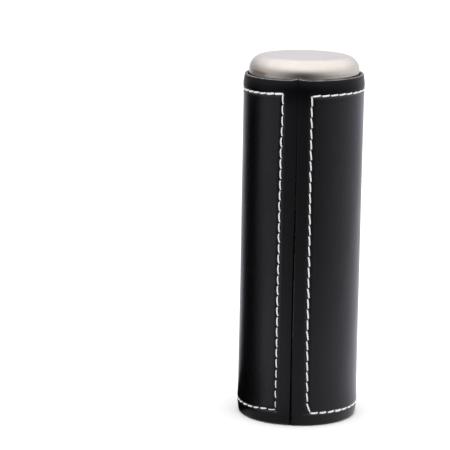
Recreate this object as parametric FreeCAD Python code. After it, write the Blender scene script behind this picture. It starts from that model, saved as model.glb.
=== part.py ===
"""Slim dice cup with a lift-off domed lid, dressed in a stitched leather sleeve.

Millimetres, +Z up. The origin is the centre of the sleeve's bottom edge, and the sleeve's
seam faces -Y. Angles round the cup are measured from the seam, towards +X.

The cup is a thin steel tube, closed below by a drawn steel cap and a wooden plug, and lined
with felt. Two plies wrap it, a backing and the leather, and butt together at the seam. One
thread runs round the leather as a rectangle: along the top, the bottom and both sides of
the seam. The lid is a domed steel shell on a wooden plug. It rests on the tube's end, inside
the collar that the leather makes above the tube. Five dice lie on the floor pad.

Every piece is written to parts/NODE.step, one node to a file.
"""

import FreeCAD
import Part

import math
import os

# Sleeve
CUP_RADIUS = 24.0
CUP_HEIGHT = 139.5
LEATHER_THICKNESS = 1.2
BACKING_THICKNESS = 0.6
BOTTOM_ROUND = 0.9
RIM_ROUND = 0.4
RIM_TAPER = 0.7
SEAM_GAP = 0.5

# Stitching, with the margins measured along the leather from its edges and from the seam
THREAD_DIAMETER = 0.8
CHANNEL_WIDTH = 1.0
CHANNEL_DEPTH = 0.45
STITCH_GAP = 0.6
MARGIN_TOP = 6.0
MARGIN_BOTTOM = 5.3
MARGIN_LEFT = 6.6
MARGIN_RIGHT = 5.6
STITCHES_UP = 30
STITCHES_ROUND = 37

# Steel
SHELL_THICKNESS = 0.8
CAP_CLEARANCE = 0.2
TUBE_BOTTOM = 6.0
COLLAR_HEIGHT = 4.0
CAP_RECESS = 0.4
CAP_CORNER = 1.6
CAP_CROWN = 0.1
LID_SEAT_GAP = 0.05
DOME_WALL = 1.5
DOME_CORNER = 5.6
DOME_CROWN = 0.3

# Plugs
BASE_PLUG_TOP = 12.0
BASE_PLUG_ROOM = 0.2
LID_PLUG_DEPTH = 9.0
LID_PLUG_CLEARANCE = 0.25
LID_PLUG_ROOM = 0.9
LID_PLUG_BREAK = 0.5
SEAL_WIRE = 1.1
SEAL_CLEARANCE = 0.05
SEAL_DROP = 4.5
SEAL_SLACK = 0.1

# Felt
LINING_THICKNESS = 1.0
LINING_GAP_BELOW_PLUG = 2.0
LINING_JOINT = 0.4
PAD_THICKNESS = 1.5
PAD_CLEARANCE = 0.1
LID_PAD_THICKNESS = 1.2
LID_PAD_RADIUS = 19.5

# Dice: x, y, turn about Z in degrees, and the number on top
DIE_SIZE = 12.0
DIE_ROUND = 1.4
DIE_LIFT_OFF = 0.1
PIP_RADIUS = 1.05
PIP_DEPTH = 0.35
PIP_SPACING = 3.1
DICE = [
    (-0.3, -0.9, 36.8, 5),
    (12.8, 3.8, 15.0, 2),
    (-1.5, 13.2, 4.3, 6),
    (-10.5, -8.2, 39.3, 3),
    (6.8, -11.3, 35.8, 4),
]

# Worked out from the sizes above
LEATHER_INSIDE = CUP_RADIUS - LEATHER_THICKNESS
TUBE_RADIUS = LEATHER_INSIDE - BACKING_THICKNESS
BORE_RADIUS = TUBE_RADIUS - SHELL_THICKNESS
CAP_RADIUS = TUBE_RADIUS - CAP_CLEARANCE
CAP_INSIDE = CAP_RADIUS - SHELL_THICKNESS
LINING_INSIDE = BORE_RADIUS - LINING_THICKNESS
TUBE_TOP = CUP_HEIGHT - COLLAR_HEIGHT
LID_SEAT = TUBE_TOP + LID_SEAT_GAP
LID_PLUG_BOTTOM = TUBE_TOP - LID_PLUG_DEPTH
LINING_TOP = LID_PLUG_BOTTOM - LINING_GAP_BELOW_PLUG
FLOOR = BASE_PLUG_TOP + PAD_THICKNESS
ROW_BOTTOM = MARGIN_BOTTOM
ROW_TOP = CUP_HEIGHT - MARGIN_TOP
ROUND_LENGTH = 2 * math.pi * CUP_RADIUS - MARGIN_LEFT - MARGIN_RIGHT

AXIS = FreeCAD.Vector(0, 0, 1)
ORIGIN = FreeCAD.Vector(0, 0, 0)


def point(radius, height):
    """A point of an outline, which is drawn in the XZ plane and turned about Z."""
    return FreeCAD.Vector(radius, 0, height)


def line(start, end):
    return Part.makeLine(point(*start), point(*end))


def arc(start, middle, end):
    return Part.Arc(point(*start), point(*middle), point(*end)).toShape()


def polyline(corners):
    return [line(a, b) for a, b in zip(corners, corners[1:])]


def turned(edges):
    """The solid that a closed outline sweeps in one turn about Z."""
    return Part.Face(Part.Wire(edges)).revolve(ORIGIN, AXIS, 360)


def disc(radius, low, high):
    return Part.makeCylinder(radius, high - low, FreeCAD.Vector(0, 0, low))


def tube(inner, outer, low, high):
    return disc(outer, low, high).cut(disc(inner, low - 1, high + 1))


def upright_slot(width, outer, inner, low, high, angle=0.0):
    """A box that cuts an upright slot in a wall, between two radii, at an angle from the seam."""
    box = Part.makeBox(width, outer - inner, high - low, FreeCAD.Vector(-width / 2, -outer, low))
    box.rotate(ORIGIN, AXIS, angle)
    return box


def angle_of(length):
    """The angle from the seam, in degrees, of a length measured round the leather."""
    return math.degrees(length / CUP_RADIUS)


def on_cup(radius, length, height):
    """A point at a length round the leather from the seam, positive towards +X."""
    turn = length / CUP_RADIUS
    return FreeCAD.Vector(radius * math.sin(turn), -radius * math.cos(turn), height)


# ---------------------------------------------------------------- sleeve

def leather_sleeve():
    """The outer leather: shaped edges, a channel for each row of stitches, a butt seam.

    Above the top row the leather is pared, so that it tapers in to the rim.
    """
    rim = CUP_RADIUS - RIM_TAPER
    lower_start, lower_end = (CUP_RADIUS - BOTTOM_ROUND, 0), (CUP_RADIUS, BOTTOM_ROUND)
    upper_start, upper_end = (rim, CUP_HEIGHT - RIM_ROUND), (rim - RIM_ROUND, CUP_HEIGHT)
    sleeve = turned([
        line((LEATHER_INSIDE, 0), lower_start),
        arc(lower_start, rounded_middle(CUP_RADIUS, BOTTOM_ROUND, BOTTOM_ROUND, -1), lower_end),
        line(lower_end, (CUP_RADIUS, ROW_TOP + CHANNEL_WIDTH / 2)),
        line((CUP_RADIUS, ROW_TOP + CHANNEL_WIDTH / 2), upper_start),
        arc(upper_start, rounded_middle(rim, CUP_HEIGHT - RIM_ROUND, RIM_ROUND, 1), upper_end),
        line(upper_end, (LEATHER_INSIDE, CUP_HEIGHT)),
        line((LEATHER_INSIDE, CUP_HEIGHT), (LEATHER_INSIDE, 0)),
    ])
    channels = [row_channel(ROW_BOTTOM), row_channel(ROW_TOP)]
    for length in (-MARGIN_LEFT, MARGIN_RIGHT):
        floor = CUP_RADIUS - CHANNEL_DEPTH
        angle = angle_of(length)
        channels.append(upright_slot(CHANNEL_WIDTH, CUP_RADIUS + 1, floor, ROW_BOTTOM, ROW_TOP, angle))
    channels.append(upright_slot(SEAM_GAP, CUP_RADIUS + 1, LEATHER_INSIDE - 1, -1, CUP_HEIGHT + 1))
    return sleeve.cut(channels)


def rounded_middle(side, level, radius, up):
    """The middle point of a quarter round that starts on an upright side, at a level."""
    knee = radius * math.sqrt(0.5)
    return side - radius + knee, level + up * knee


def row_channel(height):
    """A cutter for the channel under a level row, from one upright channel round the back to the other."""
    floor, outside = CUP_RADIUS - CHANNEL_DEPTH, CUP_RADIUS + 1
    low, high = height - CHANNEL_WIDTH / 2, height + CHANNEL_WIDTH / 2
    section = polyline([(floor, low), (outside, low), (outside, high), (floor, high), (floor, low)])
    start = MARGIN_RIGHT - CHANNEL_WIDTH / 2
    sweep = angle_of(ROUND_LENGTH + CHANNEL_WIDTH)
    cutter = Part.Face(Part.Wire(section)).revolve(ORIGIN, AXIS, sweep)
    cutter.rotate(ORIGIN, AXIS, angle_of(start) - 90)
    return cutter


def sleeve_backing():
    """The thin ply behind the leather, with the same seam."""
    backing = tube(TUBE_RADIUS, LEATHER_INSIDE, 0, CUP_HEIGHT)
    return backing.cut(upright_slot(SEAM_GAP, CUP_RADIUS, TUBE_RADIUS - 1, -1, CUP_HEIGHT + 1))


# ---------------------------------------------------------------- stitching

def stitch(start, end):
    """One visible length of thread: a round bar with round ends, from start to end."""
    radius = THREAD_DIAMETER / 2
    length = (end - start).Length
    straight = length - THREAD_DIAMETER
    knee = radius * math.sqrt(0.5)
    edges = [
        arc((0, 0), (knee, radius - knee), (radius, radius)),
        line((radius, radius), (radius, radius + straight)),
        arc((radius, radius + straight), (knee, radius + straight + knee), (0, length)),
        line((0, length), (0, 0)),
    ]
    bar = turned(edges)
    bar.Placement = FreeCAD.Placement(start, FreeCAD.Rotation(AXIS, end - start))
    return bar


def stitch_row(count, places):
    """A row of stitches. places(share) gives the point that is that share of the way along the row."""
    length = places(0).distanceToPoint(places(1e-3)) * 1e3
    margin = STITCH_GAP / 2 / length
    return Part.makeCompound([
        stitch(places(k / count + margin), places((k + 1) / count - margin)) for k in range(count)
    ])


def thread_radius():
    """The radius at which a stitch's own line lies, so that its middle clears the channel's floor."""
    chord = ROUND_LENGTH / STITCHES_ROUND - STITCH_GAP
    sag = chord ** 2 / (8 * CUP_RADIUS)
    return CUP_RADIUS - CHANNEL_DEPTH + THREAD_DIAMETER / 2 + sag + 0.01


def row_round(height):
    return stitch_row(STITCHES_ROUND, lambda share: on_cup(
        thread_radius(), MARGIN_RIGHT + share * ROUND_LENGTH, height))


def row_up(length):
    return stitch_row(STITCHES_UP, lambda share: on_cup(
        thread_radius(), length, ROW_BOTTOM + share * (ROW_TOP - ROW_BOTTOM)))


# ---------------------------------------------------------------- cup

def core_tube():
    return tube(BORE_RADIUS, TUBE_RADIUS, TUBE_BOTTOM, TUBE_TOP)


def shell_outline(radius, foot, corner_height, corner, crown):
    """Outline edges of a drawn cap, from its foot up over a rounded corner to a slight crown on the axis.

    The crown is an arc about a point on the axis that meets the corner's arc with no kink.
    """
    inset = radius - corner
    rise = corner + crown
    big = (inset ** 2 + rise ** 2 - corner ** 2) / (2 * (rise - corner))
    centre = corner_height + rise - big
    lean = math.asin(inset / (big - corner))
    meet = (big * math.sin(lean), centre + big * math.cos(lean))
    half_turn = (math.pi / 2 + lean) / 2
    middle = (inset + corner * math.sin(half_turn), corner_height + corner * math.cos(half_turn))
    top_middle = (big * math.sin(lean / 2), centre + big * math.cos(lean / 2))
    top = (0, corner_height + rise)
    return [
        line((radius, foot), (radius, corner_height)),
        arc((radius, corner_height), middle, meet),
        arc(meet, top_middle, top),
    ], top


def drawn_cap(foot, corner_height, corner, crown):
    """A drawn steel cap: the outer outline less the same outline one shell thickness inside."""
    outer, top = shell_outline(CAP_RADIUS, foot, corner_height, corner, crown)
    inner, inner_top = shell_outline(CAP_INSIDE, foot, corner_height, corner - SHELL_THICKNESS, crown)
    edges = outer + [line(top, inner_top)] + inner + [line((CAP_INSIDE, foot), (CAP_RADIUS, foot))]
    return turned(Part.sortEdges(edges)[0])


def base_cap():
    """The flush steel disc under the cup: a shallow cap, turned over."""
    height = TUBE_BOTTOM - CAP_RECESS
    cap = drawn_cap(0, height - CAP_CORNER - CAP_CROWN, CAP_CORNER, CAP_CROWN)
    cap.rotate(ORIGIN, FreeCAD.Vector(1, 0, 0), 180)
    cap.translate(FreeCAD.Vector(0, 0, TUBE_BOTTOM))
    return cap


def base_plug():
    """The turned wooden plug that joins the base cap to the tube and makes the cup's floor."""
    bottom = CAP_RECESS + SHELL_THICKNESS + BASE_PLUG_ROOM
    return turned(polyline([
        (0, bottom),
        (CAP_INSIDE - CAP_CORNER, bottom),
        (CAP_INSIDE, bottom + CAP_CORNER),
        (CAP_INSIDE, TUBE_BOTTOM),
        (BORE_RADIUS, TUBE_BOTTOM),
        (BORE_RADIUS, BASE_PLUG_TOP),
        (0, BASE_PLUG_TOP),
        (0, bottom),
    ]))


def wall_lining():
    """The felt round the wall, cut to length so that its ends nearly meet at the back."""
    lining = tube(LINING_INSIDE, BORE_RADIUS, BASE_PLUG_TOP, LINING_TOP)
    return lining.cut(upright_slot(LINING_JOINT, BORE_RADIUS + 1, LINING_INSIDE - 1, 0, CUP_HEIGHT, 180))


def floor_pad():
    return disc(LINING_INSIDE - PAD_CLEARANCE, BASE_PLUG_TOP, FLOOR)


# ---------------------------------------------------------------- lid

def lid_cap():
    return drawn_cap(LID_SEAT, CUP_HEIGHT + DOME_WALL, DOME_CORNER, DOME_CROWN)


def lid_plug():
    """The turned wooden plug that fills the dome and centres the lid in the tube, with the seal's groove."""
    skirt = BORE_RADIUS - LID_PLUG_CLEARANCE
    shoulder = CUP_HEIGHT + DOME_WALL
    top = shoulder + DOME_CORNER - SHELL_THICKNESS + DOME_CROWN - LID_PLUG_ROOM
    seal = TUBE_TOP - SEAL_DROP
    groove = seal_centre_radius() - SEAL_WIRE
    half = SEAL_WIRE + SEAL_SLACK
    return turned(polyline([
        (0, LID_PLUG_BOTTOM),
        (skirt - LID_PLUG_BREAK, LID_PLUG_BOTTOM),
        (skirt, LID_PLUG_BOTTOM + LID_PLUG_BREAK),
        (skirt, seal - half),
        (groove, seal - half),
        (groove, seal + half),
        (skirt, seal + half),
        (skirt, LID_SEAT),
        (CAP_INSIDE, LID_SEAT),
        (CAP_INSIDE, shoulder),
        (CAP_INSIDE - (top - shoulder), top),
        (0, top),
        (0, LID_PLUG_BOTTOM),
    ]))


def seal_centre_radius():
    return BORE_RADIUS - SEAL_CLEARANCE - SEAL_WIRE


def lid_seal():
    """The rubber ring round the lid's plug, which grips the tube."""
    return Part.makeTorus(seal_centre_radius(), SEAL_WIRE, FreeCAD.Vector(0, 0, TUBE_TOP - SEAL_DROP))


def lid_pad():
    return disc(LID_PAD_RADIUS, LID_PLUG_BOTTOM - LID_PAD_THICKNESS, LID_PLUG_BOTTOM)


# ---------------------------------------------------------------- dice

PIP_PLACES = {
    1: [(0, 0)],
    2: [(-1, -1), (1, 1)],
    3: [(-1, -1), (0, 0), (1, 1)],
    4: [(-1, -1), (-1, 1), (1, -1), (1, 1)],
    5: [(-1, -1), (-1, 1), (0, 0), (1, -1), (1, 1)],
    6: [(-1, -1), (-1, 0), (-1, 1), (1, -1), (1, 0), (1, 1)],
}

# The turn, as axis and degrees, that brings each number from its own face to the top.
# Opposite faces add up to seven.
X_AXIS = FreeCAD.Vector(1, 0, 0)
Y_AXIS = FreeCAD.Vector(0, 1, 0)
NUMBER_TO_TOP = {
    1: (X_AXIS, 0),
    2: (X_AXIS, -90),
    3: (Y_AXIS, -90),
    4: (Y_AXIS, 90),
    5: (X_AXIS, 90),
    6: (X_AXIS, 180),
}


def plain_die():
    """A die at the origin with 1 on top, 2 towards -Y and 3 towards +X."""
    half = DIE_SIZE / 2
    body = Part.makeBox(DIE_SIZE, DIE_SIZE, DIE_SIZE, FreeCAD.Vector(-half, -half, -half))
    body = body.makeFillet(DIE_ROUND, body.Edges)
    ball = (PIP_RADIUS ** 2 + PIP_DEPTH ** 2) / (2 * PIP_DEPTH)
    cutters = []
    for number, places in PIP_PLACES.items():
        axis, degrees = NUMBER_TO_TOP[number]
        back = FreeCAD.Rotation(axis, -degrees)
        for u, v in places:
            centre = FreeCAD.Vector(u * PIP_SPACING, v * PIP_SPACING, half + ball - PIP_DEPTH)
            cutters.append(Part.makeSphere(ball, back.multVec(centre)))
    return body.cut(cutters)


def die(x, y, turn, number):
    cube = plain_die()
    axis, degrees = NUMBER_TO_TOP[number]
    cube.rotate(ORIGIN, axis, degrees)
    cube.rotate(ORIGIN, AXIS, turn)
    cube.translate(FreeCAD.Vector(x, y, FLOOR + DIE_LIFT_OFF + DIE_SIZE / 2))
    return cube


# ---------------------------------------------------------------- output

def build():
    nodes = {
        "leather_sleeve": leather_sleeve(),
        "sleeve_backing": sleeve_backing(),
        "stitch_row_top": row_round(ROW_TOP),
        "stitch_row_bottom": row_round(ROW_BOTTOM),
        "stitch_row_seam_left": row_up(-MARGIN_LEFT),
        "stitch_row_seam_right": row_up(MARGIN_RIGHT),
        "core_tube": core_tube(),
        "base_cap": base_cap(),
        "base_plug": base_plug(),
        "wall_lining": wall_lining(),
        "floor_pad": floor_pad(),
        "lid_cap": lid_cap(),
        "lid_plug": lid_plug(),
        "lid_seal": lid_seal(),
        "lid_pad": lid_pad(),
    }
    for number, place in enumerate(DICE, start=1):
        nodes[f"die_{number}"] = die(*place)
    return nodes


os.makedirs("parts", exist_ok=True)
for name, shape in build().items():
    solids = shape.Solids
    volume = sum(s.Volume for s in solids)
    if not shape.isValid() or volume <= 0:
        raise ValueError(f"{name} isn't a valid solid")
    shape.exportStep(f"parts/{name}.step")
    print(f"{name}: {len(solids)} solid(s), {volume:.1f} mm3")
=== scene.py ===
"""A slim leather dice cup with a domed steel lid and five dice.

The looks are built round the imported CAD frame. Shapes are worked out in millimetres, in the
frame's axes: +Z up the cup, the sleeve's seam at -Y. A place on the sleeve is (along, height),
where along is the length round the leather from the seam, positive towards +X.
"""

import math
import random

import bmesh
import bpy
import numpy as np
from mathutils import Matrix, Vector, noise


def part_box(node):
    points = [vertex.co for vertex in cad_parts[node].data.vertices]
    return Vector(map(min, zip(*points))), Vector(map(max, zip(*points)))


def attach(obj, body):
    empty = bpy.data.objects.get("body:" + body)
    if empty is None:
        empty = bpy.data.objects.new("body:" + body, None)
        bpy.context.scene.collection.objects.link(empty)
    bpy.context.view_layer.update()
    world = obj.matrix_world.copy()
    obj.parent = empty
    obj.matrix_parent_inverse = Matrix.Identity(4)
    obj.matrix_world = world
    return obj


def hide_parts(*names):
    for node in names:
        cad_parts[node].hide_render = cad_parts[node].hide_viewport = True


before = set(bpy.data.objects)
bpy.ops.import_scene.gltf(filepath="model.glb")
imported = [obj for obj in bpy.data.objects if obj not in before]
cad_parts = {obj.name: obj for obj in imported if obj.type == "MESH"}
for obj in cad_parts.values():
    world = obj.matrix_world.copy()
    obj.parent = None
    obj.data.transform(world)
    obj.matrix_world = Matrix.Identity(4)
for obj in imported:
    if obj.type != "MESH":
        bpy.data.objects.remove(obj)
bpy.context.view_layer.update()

MM = 0.001
RANDOM = random.Random(7)


# ---- sizes from the frame, in mm

def low(node):
    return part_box(node)[0] / MM


def high(node):
    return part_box(node)[1] / MM


def middle(node):
    return (low(node) + high(node)) / 2


CUP_R = high("leather_sleeve").x
CUP_H = high("leather_sleeve").z
LEATHER_IN = high("sleeve_backing").x
TUBE_R = high("core_tube").x
TUBE_LOW = low("core_tube").z
TUBE_TOP = high("core_tube").z
BORE_R = high("wall_lining").x
LID_R = high("lid_cap").x
LID_FOOT = low("lid_cap").z
LID_TOP = high("lid_cap").z
ROW_TOP = middle("stitch_row_top").z
ROW_BOTTOM = middle("stitch_row_bottom").z
ROUND = 2 * math.pi * CUP_R

# Kept as part.py has them, because no node's box gives them
SHEET_STEEL = 0.8
CAP_CORNER = 1.6
CAP_CROWN = 0.1
DOME_CORNER = 5.6
DOME_CROWN = 0.3
FELT = 1.0
STITCHES_UP = 30
STITCHES_ROUND = 37
THREAD_R = 0.4
DIE_SIZE = 12.0
DIE_ROUND = 1.4
PIP_R = 1.05
PIP_DEPTH = 0.35
PIP_SPACING = 3.1
DIE_TURNS = {1: (36.8, 5), 2: (15.0, 2), 3: (4.3, 6), 4: (39.3, 3), 5: (35.8, 4)}


def along_of(node):
    """The length round the leather from the seam to an upright row."""
    centre = middle(node)
    return CUP_R * math.atan2(centre.x, -centre.y)


COLUMN_LEFT = along_of("stitch_row_seam_left")
COLUMN_RIGHT = along_of("stitch_row_seam_right")


# ---- mesh helpers

def add_object(name, data):
    made = bpy.data.objects.new(name, data)
    bpy.context.scene.collection.objects.link(made)
    return made


def mesh_of(shape, name, material):
    """A mesh from a bmesh, which is freed."""
    mesh = bpy.data.meshes.new(name)
    shape.to_mesh(mesh)
    shape.free()
    mesh.materials.append(material)
    return mesh


def make_object(name, points, faces, materials, face_material=None):
    """A closed, smooth-shaded mesh object from points in millimetres, its faces turned outwards."""
    mesh = bpy.data.meshes.new(name)
    mesh.from_pydata((np.asarray(points, float) * MM).tolist(), [], faces)
    for material in materials:
        mesh.materials.append(material)
    if face_material is not None:
        mesh.polygons.foreach_set("material_index", np.asarray(face_material, np.int32))
    mesh.polygons.foreach_set("use_smooth", np.ones(len(mesh.polygons), bool))
    mesh.validate()
    shape = bmesh.new()
    shape.from_mesh(mesh)
    bmesh.ops.recalc_face_normals(shape, faces=shape.faces)
    shape.to_mesh(mesh)
    shape.free()
    return add_object(name, mesh)


def strip_faces(count, loop):
    """Faces of a strip: a closed loop of points repeated count times, with both ends closed."""
    faces = []
    for i in range(count - 1):
        for j in range(loop):
            n = (j + 1) % loop
            faces.append((i * loop + j, (i + 1) * loop + j, (i + 1) * loop + n, i * loop + n))
    return faces + [tuple(range(loop)), tuple((count - 1) * loop + j for j in reversed(range(loop)))]


def arc_points(centre, radius, start, end, steps):
    """Points of an arc in the (r, z) plane. Angles are in degrees from +r towards +z."""
    turns = np.radians(np.linspace(start, end, steps + 1))
    return [(centre[0] + radius * math.cos(t), centre[1] + radius * math.sin(t)) for t in turns]


def rounded(corners, radius):
    """A closed outline with its corners rounded, except those on the axis.

    A corner is (r, z) or (r, z, its own radius). Each straight run gets a point near each end,
    so that the rounding doesn't spread into the shading of the flat.
    """
    steps, support = 4, 0.12
    outline, count = [], len(corners)
    for k in range(count):
        before, here, after = (Vector(corners[(k + d) % count][:2]) for d in (-1, 0, 1))
        size = corners[k][2] if len(corners[k]) > 2 else radius
        if here.x < 1e-6 or size <= 0:
            outline.append(tuple(here))
            continue
        a, b = (before - here).normalized(), (after - here).normalized()
        half = a.angle(b) / 2
        reach = min(size / math.tan(half), 0.45 * min((before - here).length, (after - here).length))
        true_r = reach * math.tan(half)
        centre = here + (a + b).normalized() * (true_r / math.sin(half))
        start, end = here + a * reach - centre, here + b * reach - centre
        sweep = start.angle_signed(end)
        pad = min(support, reach)
        outline.append(tuple(here + a * (reach + pad)))
        for step in range(steps + 1):
            spoke = start.copy()
            spoke.rotate(Matrix.Rotation(-sweep * step / steps, 2))
            outline.append(tuple(centre + spoke))
        outline.append(tuple(here + b * (reach + pad)))
    return outline


def lathe(name, outline, material, segments):
    """A closed solid of revolution from a closed (r, z) outline, whose axis points become poles."""
    points, rings, faces = [], [], []
    turns = np.arange(segments) * 2 * math.pi / segments
    for r, z in outline:
        if r < 1e-6:
            rings.append([len(points)] * segments)
            points.append((0, 0, z))
        else:
            rings.append(list(range(len(points), len(points) + segments)))
            points.extend(zip(r * np.sin(turns), -r * np.cos(turns), np.full(segments, z)))
    for ring, other in zip(rings, rings[1:] + rings[:1]):
        if ring[0] == ring[1] and other[0] == other[1]:
            continue
        for j in range(segments):
            n = (j + 1) % segments
            faces.append(list(dict.fromkeys((ring[j], ring[n], other[n], other[j]))))
    return make_object(name, points, faces, [material])


def paint(piece, name, values):
    """A value for each point of the mesh, which its material reads by name."""
    attribute = piece.data.attributes.new(name, "FLOAT", "POINT")
    attribute.data.foreach_set("value", np.asarray(values, np.float32).ravel())


def put(piece, body, node):
    """Sets the body that a piece rides on and the CAD node that it replaces."""
    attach(piece, body)
    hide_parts(node)


def ease(value):
    """0 to 1 with level ends, for a value that is cut off at 0 and 1."""
    t = np.clip(value, 0.0, 1.0)
    return t * t * (3 - 2 * t)


def bump(value, width):
    """1 at 0, falling away smoothly on both sides."""
    return np.exp(-(value / width) ** 2)


# ---- materials

class Tree:
    """A node tree, with short names for the nodes used most."""

    def __init__(self, tree):
        self.tree = tree

    def node(self, kind, numbers=(), **values):
        """A node, with its properties by keyword and its sockets' numbers by name."""
        made = self.tree.nodes.new("ShaderNode" + kind)
        for key, value in values.items():
            setattr(made, key, value)
        for key, value in dict(numbers).items():
            made.inputs[key].default_value = value
        return made

    def link(self, source, target):
        self.tree.links.new(source, target)

    def place(self, stretch=(1, 1, 1), turn=(0, 0, 0)):
        """Object coordinates in millimetres, stretched along the axes."""
        scale = [value / MM for value in stretch]
        rotation = [math.radians(value) for value in turn]
        mapping = self.node("Mapping", {"Scale": scale, "Rotation": rotation})
        self.link(self.node("TexCoord").outputs["Object"], mapping.inputs["Vector"])
        return mapping.outputs["Vector"]

    def split(self, vector):
        made = self.node("SeparateXYZ")
        self.link(vector, made.inputs["Vector"])
        return tuple(made.outputs)

    def noise(self, where, scale, detail=2.0, rough=0.5, distortion=0.0):
        numbers = {"Scale": scale, "Detail": detail, "Roughness": rough, "Distortion": distortion}
        made = self.node("TexNoise", numbers)
        self.link(where, made.inputs["Vector"])
        return made.outputs["Fac"]

    def cells(self, where, scale):
        made = self.node("TexVoronoi", {"Scale": scale}, feature="DISTANCE_TO_EDGE")
        self.link(where, made.inputs["Vector"])
        return made.outputs["Distance"]

    def remap(self, value, from_low, from_high, to_low, to_high):
        numbers = {"From Min": from_low, "From Max": from_high, "To Min": to_low, "To Max": to_high}
        made = self.node("MapRange", numbers)
        self.link(value, made.inputs["Value"])
        return made.outputs["Result"]

    def math(self, operation, a, b):
        made = self.node("Math", operation=operation)
        for socket, value in zip(made.inputs, (a, b)):
            if isinstance(value, (int, float)):
                socket.default_value = value
            else:
                self.link(value, socket)
        return made.outputs["Value"]

    def ramp(self, value, stops):
        """Colours by value: stops are (position, (r, g, b))."""
        made = self.node("ValToRGB")
        elements = made.color_ramp.elements
        while len(elements) < len(stops):
            elements.new(1.0)
        for element, (position, colour) in zip(elements, stops):
            element.position = position
            element.color = (*colour, 1)
        self.link(value, made.inputs["Fac"])
        return made.outputs["Color"]

    def mix(self, share, a, b):
        """A colour between a and b. The node's colour sockets are its 7th and 8th."""
        made = self.node("Mix", data_type="RGBA")
        self.link(share, made.inputs[0])
        for socket, value in zip((made.inputs[6], made.inputs[7]), (a, b)):
            if isinstance(value, tuple):
                socket.default_value = (*value, 1)
            else:
                self.link(value, socket)
        return made.outputs[2]

    def attribute(self, name):
        return self.node("Attribute", attribute_name=name).outputs["Fac"]


class Material(Tree):
    """A node material with a Principled shader."""

    def __init__(self, name, colour, roughness, metallic=0.0):
        self.data = bpy.data.materials.new(name)
        self.data.use_nodes = True
        self.data.diffuse_color = (*colour, 1)
        super().__init__(self.data.node_tree)
        self.shader = self.tree.nodes["Principled BSDF"]
        self.shader.inputs["Base Color"].default_value = (*colour, 1)
        self.shader.inputs["Roughness"].default_value = roughness
        self.shader.inputs["Metallic"].default_value = metallic
        self.height = None

    def colour_from(self, output):
        self.link(output, self.shader.inputs["Base Color"])

    def roughness_from(self, output):
        self.link(output, self.shader.inputs["Roughness"])

    def relief(self, value, depth, strength=1.0):
        """Adds a bump: value from 0 to 1 stands for a height of depth, in millimetres."""
        made = self.node("Bump", {"Strength": strength, "Distance": depth * MM})
        self.link(value, made.inputs["Height"])
        if self.height is not None:
            self.link(self.height, made.inputs["Normal"])
        self.height = made.outputs["Normal"]
        self.link(self.height, self.shader.inputs["Normal"])

    def set(self, **sockets):
        for key, value in sockets.items():
            self.shader.inputs[key.replace("_", " ")].default_value = value


def plain(amount):
    return (amount, amount, amount)


def leather_material():
    """Smooth black leather: faint grain, rubbed edges, and a satin finish that is thin towards the rim."""
    m = Material("leather_black", (0.0026, 0.0026, 0.0029), 0.34)
    where = m.place()
    fine = m.noise(where, 4.0, 4.0, 0.6)
    cloudy = m.noise(m.place((1, 1, 0.45)), 0.09, 3.0, 0.55)
    wear = m.attribute("wear")
    base = m.mix(m.remap(cloudy, 0.3, 0.7, 0.0, 1.0), (0.0011, 0.0011, 0.0013), (0.0019, 0.0019, 0.0022))
    bared = m.math("MULTIPLY", wear, m.remap(fine, 0.35, 0.65, 0.2, 1.0))
    m.colour_from(m.mix(bared, base, (0.02, 0.0195, 0.0195)))
    worn = m.math("MULTIPLY", wear, 0.12)
    m.roughness_from(m.math("ADD", m.remap(cloudy, 0.3, 0.7, 0.26, 0.33), worn))
    m.relief(m.remap(m.cells(where, 1.5), 0.0, 0.28, 0.0, 1.0), 0.03, 0.6)
    m.relief(fine, 0.03, 0.4)
    m.relief(m.noise(m.place((1, 1, 0.6)), 0.35, 2.0), 0.12, 0.35)
    finish = m.math("MULTIPLY", m.attribute("finish"), m.remap(cloudy, 0.3, 0.7, 0.9, 0.72))
    m.link(finish, m.shader.inputs["Coat Weight"])
    m.link(m.height, m.shader.inputs["Coat Normal"])
    m.set(IOR=1.21, Coat_Roughness=0.29, Coat_IOR=1.5, Specular_Tint=(0.94, 0.91, 1.0, 1))
    return m.data


def cut_edge_material():
    """The leather's cut corner: pale fibres where the finish has rubbed off, in patches."""
    m = Material("leather_cut_corner", (0.2, 0.2, 0.19), 0.75)
    fibres = m.noise(m.place(), 4.0, 5.0, 0.65, 0.6)
    patches = m.noise(m.place((1, 1, 0.3)), 0.35, 3.0, 0.6)
    pale = m.ramp(fibres, [(0.3, (0.12, 0.125, 0.115)), (0.7, (0.25, 0.255, 0.24))])
    m.colour_from(m.mix(m.remap(patches, 0.4, 0.65, 0.0, 0.75), pale, (0.05, 0.05, 0.048)))
    m.relief(fibres, 0.05, 0.6)
    return m.data


def dyed_edge_and_shade_material():
    """Cut edges and flesh soaked with black edge dye: quite matt. It is kept as black as shade, so it also
    paints the shade in the seam's gap and inside the rim.
    """
    m = Material("edge_dye_and_painted_shade", plain(0.002), 1.0)
    fibres = m.noise(m.place(), 5.0, 5.0, 0.65, 0.6)
    m.colour_from(m.ramp(fibres, [(0.3, plain(0.001)), (0.7, plain(0.003))]))
    m.relief(fibres, 0.1, 0.8)
    m.set(Specular_IOR_Level=0.03)
    return m.data


def backing_material():
    """Split leather, pale grey, with a short nap."""
    m = Material("backing_split", (0.4, 0.39, 0.37), 0.9)
    where = m.place()
    nap = m.noise(where, 3.5, 6.0, 0.7, 0.8)
    patches = m.noise(where, 0.4, 2.0)
    fibres = m.ramp(nap, [(0.3, (0.15, 0.15, 0.145)), (0.7, (0.38, 0.375, 0.36))])
    m.colour_from(m.mix(patches, fibres, (0.31, 0.305, 0.295)))
    m.relief(nap, 0.12, 0.7)
    m.set(Sheen_Weight=0.3, Sheen_Roughness=0.5)
    return m.data


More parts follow.
